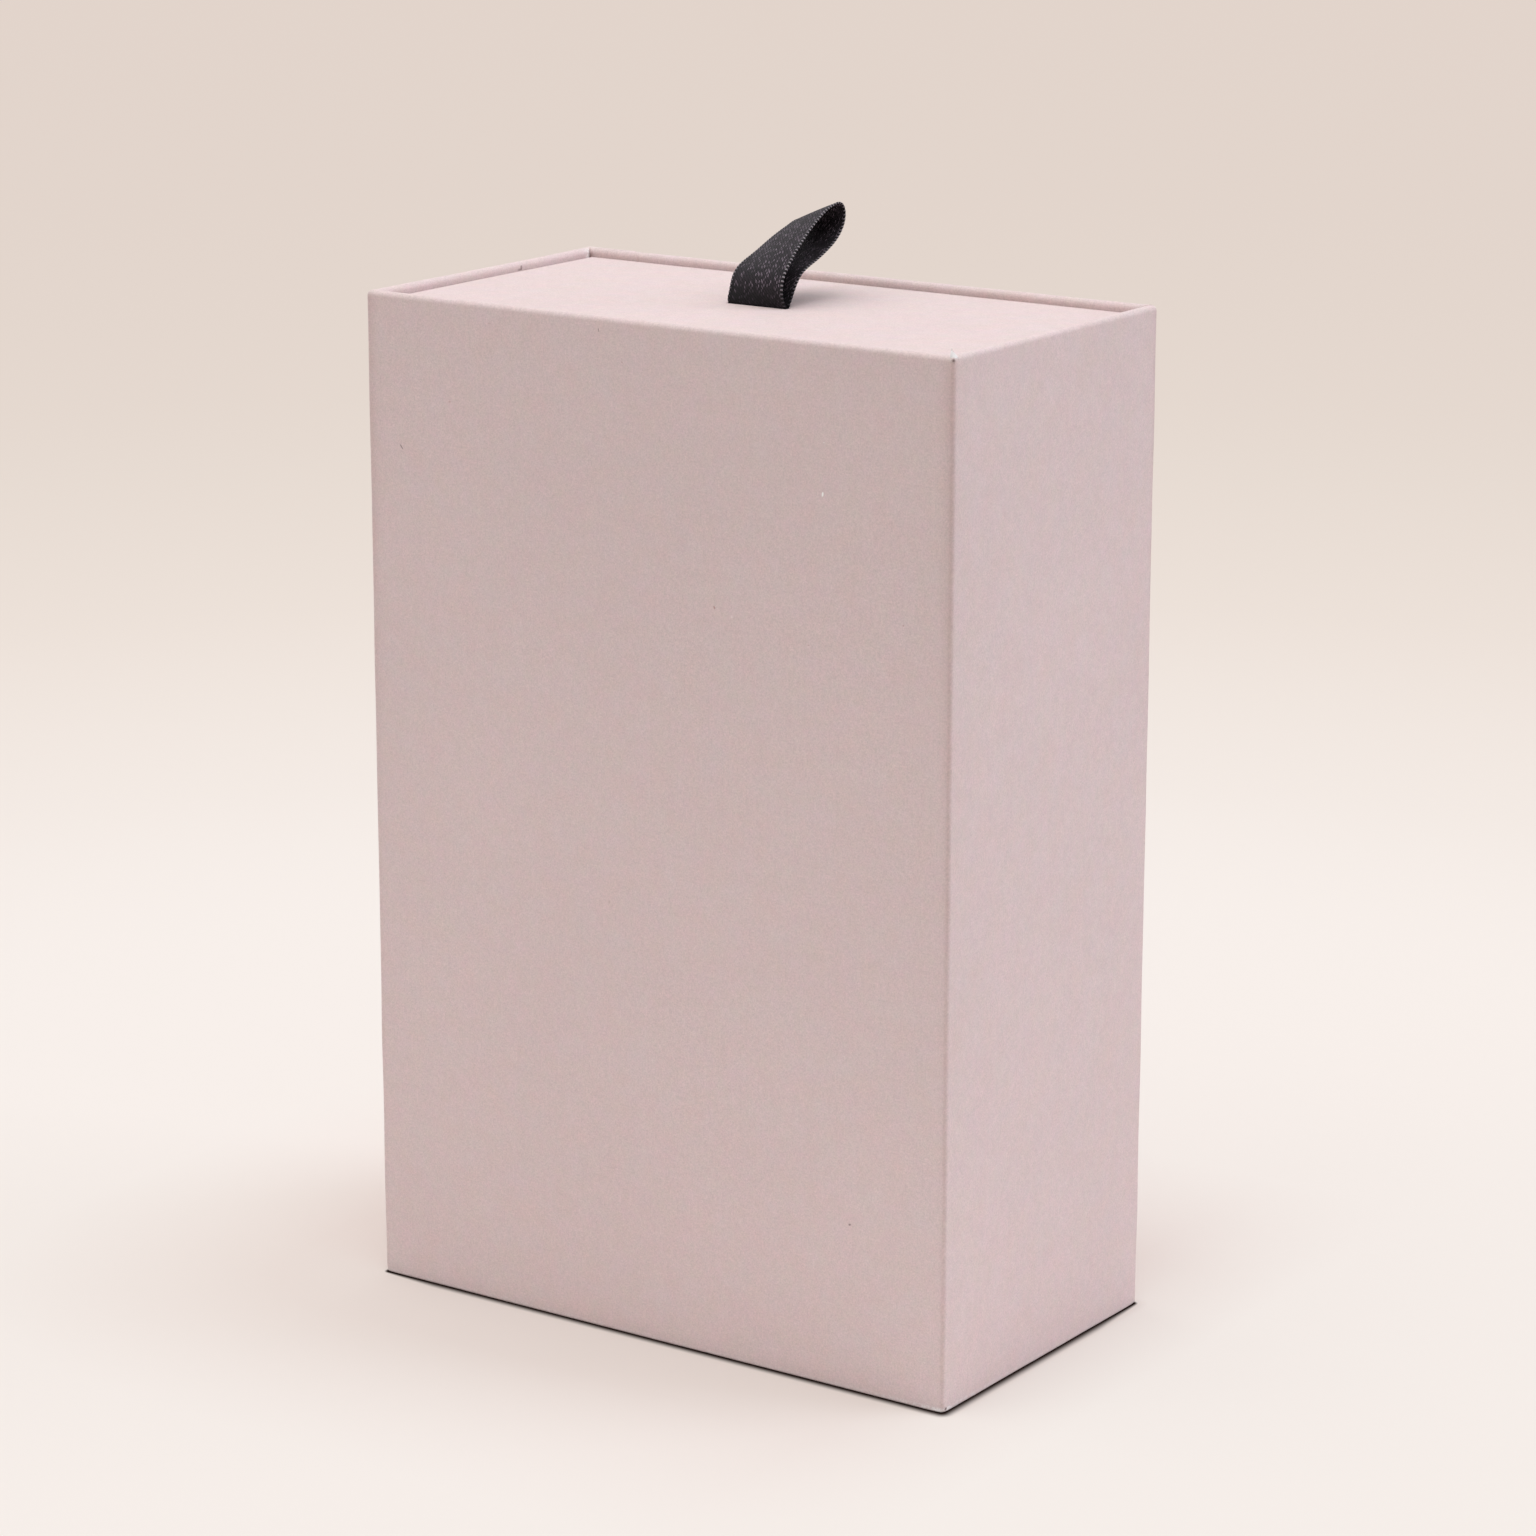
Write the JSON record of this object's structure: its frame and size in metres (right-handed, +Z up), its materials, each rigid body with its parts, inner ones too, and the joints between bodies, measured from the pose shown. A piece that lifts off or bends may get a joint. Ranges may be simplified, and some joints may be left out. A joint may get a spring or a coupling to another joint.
{
  "type": "sliding drawer gift box",
  "caption": "Rigid paper-wrapped gift box: a slim sleeve, closed at one end, holds a drawer that slides out by a woven ribbon loop in its front.",
  "frame": {"origin": "middle of the face that the box stands on, the outside of the sleeve's closed end", "axes": "+Z up, out of the sleeve's open end, the way the drawer is drawn; +Y through the shallow depth, from the wide front face to the back; +X along the width"},
  "size_m": [0.15, 0.08, 0.2424],
  "materials": {
    "wrap_paper": "matt, dusty pink, fine fibrous grain",
    "lining_paper": "matt, uncoated, a shade paler than the wrap",
    "greyboard": "raw recycled greyboard",
    "stay_tape": "gummed brown kraft tape",
    "ribbon": "black woven twill ribbon with narrow selvedges"
  },
  "bodies": {
    "sleeve": {"sleeve_front_board": "greyboard", "sleeve_back_board": "greyboard", "sleeve_left_board": "greyboard", "sleeve_right_board": "greyboard", "sleeve_end_board": "greyboard", "sleeve_corner_tapes": "stay_tape", "sleeve_wrap": "wrap_paper", "sleeve_end_paper": "wrap_paper", "sleeve_lining": "lining_paper", "sleeve_end_lining": "lining_paper"},
    "drawer": {"drawer_base_board": "greyboard", "drawer_front_board": "greyboard", "drawer_rear_board": "greyboard", "drawer_left_board": "greyboard", "drawer_right_board": "greyboard", "drawer_corner_tapes": "stay_tape", "drawer_wrap": "wrap_paper", "drawer_lining": "lining_paper", "drawer_front_lining": "lining_paper", "ribbon_tails": "ribbon"},
    "ribbon": {"ribbon_loop": "ribbon"}
  },
  "joints": [
    {"name": "drawer_slide", "type": "slide", "parent": "sleeve", "child": "drawer", "axis": [0, 0, 1], "range_m": [0, 0.225]},
    {"name": "ribbon_lean", "type": "hinge", "parent": "drawer", "child": "ribbon", "pos_m": [0, 0, 0.2231], "axis": [1, 0, 0], "range_deg": [-15, 70]}
  ]
}
